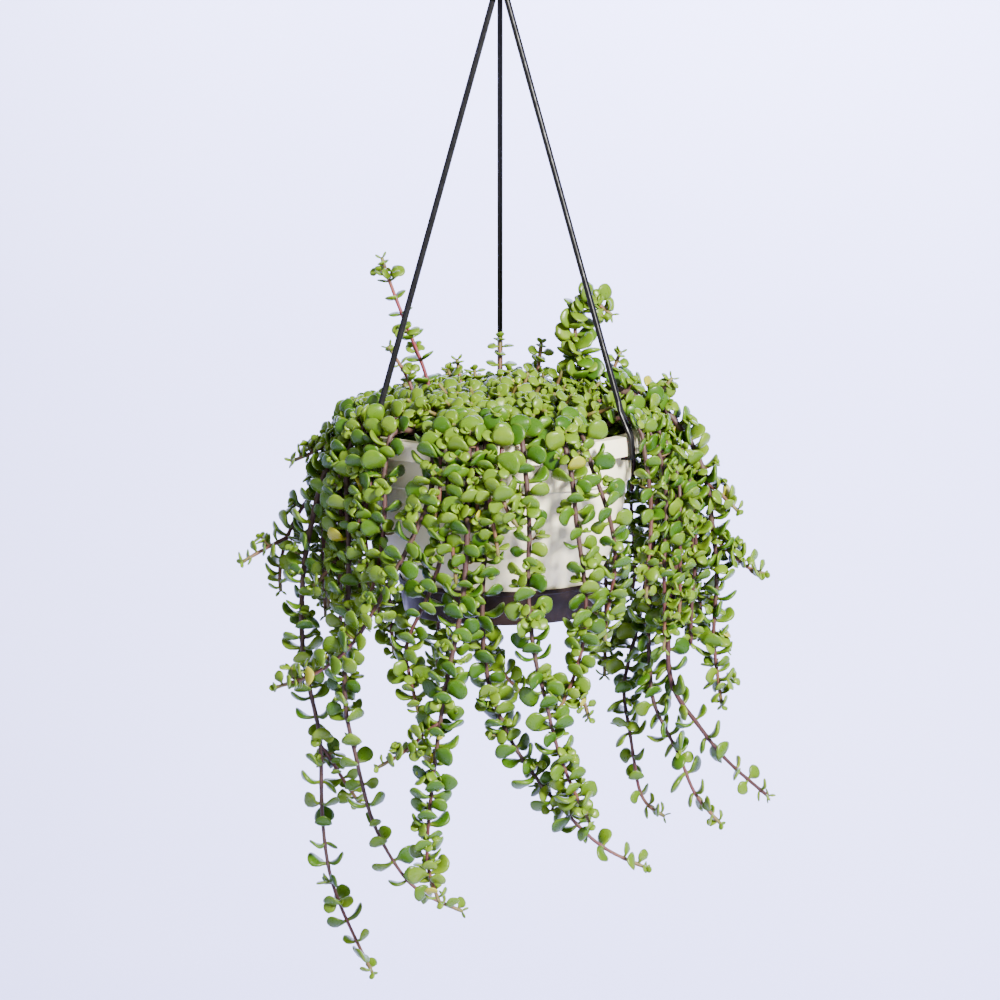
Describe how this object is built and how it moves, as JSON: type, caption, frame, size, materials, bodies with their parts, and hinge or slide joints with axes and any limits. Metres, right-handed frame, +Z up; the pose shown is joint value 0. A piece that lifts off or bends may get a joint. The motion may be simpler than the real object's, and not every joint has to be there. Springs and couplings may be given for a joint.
{
  "type": "potted trailing jade",
  "caption": "Trailing jade with round fleshy leaves on long hanging stems, in an ivory hanging pot with a clip-on saucer and a black arm hanger.",
  "frame": {"origin": "seat of the hanger's hook, the point inside its bend on which the whole thing hangs", "axes": "+Z up along the hanging line, -Y the side that the picture shows, +X to the viewer's right"},
  "size_m": [0.3713, 0.2475, 0.7464],
  "materials": {
    "crown_shoot_01_green": "satin",
    "crown_shoot_02_green": "satin",
    "crown_shoot_03_green": "satin",
    "crown_shoot_04_green": "satin",
    "crown_shoot_05_green": "satin",
    "crown_shoot_06_green": "satin",
    "crown_shoot_07_green": "satin",
    "crown_shoot_08_green": "satin",
    "crown_shoot_09_green": "satin",
    "crown_shoot_10_green": "satin",
    "crown_shoot_11_green": "satin",
    "crown_shoot_12_green": "satin",
    "hanger_arm_back_black": "satin",
    "hanger_arm_left_black": "satin",
    "hanger_arm_right_black": "satin",
    "hanger_hook_black": "satin",
    "ivory_plastic": "satin",
    "brown_plastic": "satin",
    "black_soil": "matte",
    "tall_shoot_left_green": "satin",
    "tall_shoot_right_green": "satin",
    "tall_shoot_short_green": "satin",
    "trailing_stem_01_green": "satin",
    "trailing_stem_02_green": "satin",
    "trailing_stem_03_green": "satin",
    "trailing_stem_04_green": "satin",
    "trailing_stem_05_green": "satin",
    "trailing_stem_06_green": "satin",
    "trailing_stem_07_green": "satin",
    "trailing_stem_08_green": "satin",
    "trailing_stem_09_green": "satin",
    "trailing_stem_10_green": "satin",
    "trailing_stem_11_green": "satin",
    "trailing_stem_12_green": "satin",
    "trailing_stem_13_green": "satin",
    "trailing_stem_14_green": "satin",
    "trailing_stem_15_green": "satin",
    "trailing_stem_16_green": "satin",
    "trailing_stem_17_green": "satin",
    "trailing_stem_18_green": "satin",
    "trailing_stem_19_green": "satin",
    "trailing_stem_20_green": "satin",
    "trailing_stem_21_green": "satin",
    "trailing_stem_22_green": "satin",
    "trailing_stem_23_green": "satin",
    "trailing_stem_24_green": "satin",
    "trailing_stem_25_green": "satin",
    "trailing_stem_26_green": "satin",
    "trailing_stem_27_green": "satin",
    "trailing_stem_28_green": "satin",
    "trailing_stem_29_green": "satin"
  },
  "bodies": {
    "root": {"crown_shoot_01": "crown_shoot_01_green", "crown_shoot_02": "crown_shoot_02_green", "crown_shoot_03": "crown_shoot_03_green", "crown_shoot_04": "crown_shoot_04_green", "crown_shoot_05": "crown_shoot_05_green", "crown_shoot_06": "crown_shoot_06_green", "crown_shoot_07": "crown_shoot_07_green", "crown_shoot_08": "crown_shoot_08_green", "crown_shoot_09": "crown_shoot_09_green", "crown_shoot_10": "crown_shoot_10_green", "crown_shoot_11": "crown_shoot_11_green", "crown_shoot_12": "crown_shoot_12_green", "hanger_arm_back": "hanger_arm_back_black", "hanger_arm_left": "hanger_arm_left_black", "hanger_arm_right": "hanger_arm_right_black", "hanger_hook": "hanger_hook_black", "pot": "ivory_plastic", "saucer": "brown_plastic", "soil": "black_soil", "tall_shoot_left": "tall_shoot_left_green", "tall_shoot_right": "tall_shoot_right_green", "tall_shoot_short": "tall_shoot_short_green", "trailing_stem_01": "trailing_stem_01_green", "trailing_stem_02": "trailing_stem_02_green", "trailing_stem_03": "trailing_stem_03_green", "trailing_stem_04": "trailing_stem_04_green", "trailing_stem_05": "trailing_stem_05_green", "trailing_stem_06": "trailing_stem_06_green", "trailing_stem_07": "trailing_stem_07_green", "trailing_stem_08": "trailing_stem_08_green", "trailing_stem_09": "trailing_stem_09_green", "trailing_stem_10": "trailing_stem_10_green", "trailing_stem_11": "trailing_stem_11_green", "trailing_stem_12": "trailing_stem_12_green", "trailing_stem_13": "trailing_stem_13_green", "trailing_stem_14": "trailing_stem_14_green", "trailing_stem_15": "trailing_stem_15_green", "trailing_stem_16": "trailing_stem_16_green", "trailing_stem_17": "trailing_stem_17_green", "trailing_stem_18": "trailing_stem_18_green", "trailing_stem_19": "trailing_stem_19_green", "trailing_stem_20": "trailing_stem_20_green", "trailing_stem_21": "trailing_stem_21_green", "trailing_stem_22": "trailing_stem_22_green", "trailing_stem_23": "trailing_stem_23_green", "trailing_stem_24": "trailing_stem_24_green", "trailing_stem_25": "trailing_stem_25_green", "trailing_stem_26": "trailing_stem_26_green", "trailing_stem_27": "trailing_stem_27_green", "trailing_stem_28": "trailing_stem_28_green", "trailing_stem_29": "trailing_stem_29_green"}
  },
  "joints": []
}
